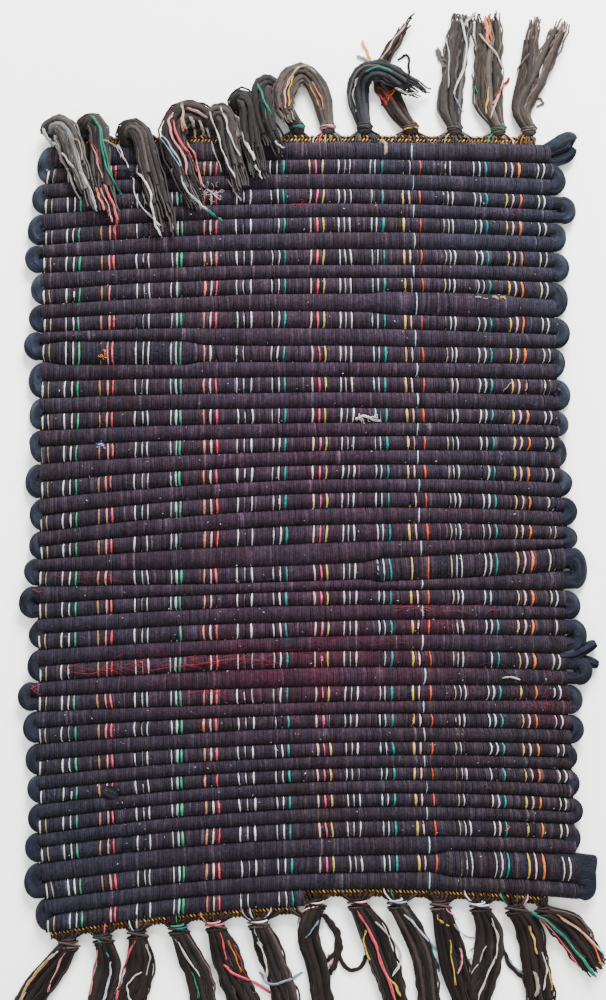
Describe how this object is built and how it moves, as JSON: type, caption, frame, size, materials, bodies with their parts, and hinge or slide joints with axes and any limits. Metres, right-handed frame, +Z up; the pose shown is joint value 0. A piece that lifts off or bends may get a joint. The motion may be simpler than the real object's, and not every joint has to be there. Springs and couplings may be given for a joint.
{
  "type": "woven rag doormat",
  "caption": "Flat rag doormat with raised cross ribs, rounded rag turns down both sides, twined headings and knotted warp tassels at both ends, some folded back over the mat.",
  "frame": {"origin": "on the floor, at the flat crest under the middle rib of the woven panel", "axes": "+Y along the mat's length, towards the end where some tassels are folded back; +X across the mat; +Z up"},
  "size_m": [0.428, 0.7604, 0.0202],
  "materials": {
    "rag_weave": "matt navy-black cotton, warp-faced over jersey rag, with narrow coloured warp threads",
    "heading_yarn": "twined gold and black cotton yarn",
    "tassel_yarn": "dark grey-brown cotton yarn with a few coloured threads"
  },
  "bodies": {
    "root": {"woven_panel": "rag_weave", "heading_top": "heading_yarn", "heading_bottom": "heading_yarn", "tassel_top_01": "tassel_yarn", "tassel_top_02": "tassel_yarn", "tassel_top_03": "tassel_yarn", "tassel_top_04": "tassel_yarn", "tassel_top_05": "tassel_yarn", "tassel_top_06": "tassel_yarn", "tassel_top_07": "tassel_yarn", "tassel_top_08": "tassel_yarn", "tassel_top_09": "tassel_yarn", "tassel_top_10": "tassel_yarn", "tassel_top_11": "tassel_yarn", "tassel_top_12": "tassel_yarn", "tassel_top_13": "tassel_yarn", "tassel_bottom_01": "tassel_yarn", "tassel_bottom_02": "tassel_yarn", "tassel_bottom_03": "tassel_yarn", "tassel_bottom_04": "tassel_yarn", "tassel_bottom_05": "tassel_yarn", "tassel_bottom_06": "tassel_yarn", "tassel_bottom_07": "tassel_yarn", "tassel_bottom_08": "tassel_yarn", "tassel_bottom_09": "tassel_yarn", "tassel_bottom_10": "tassel_yarn", "tassel_bottom_11": "tassel_yarn", "tassel_bottom_12": "tassel_yarn", "tassel_bottom_13": "tassel_yarn"}
  },
  "joints": []
}
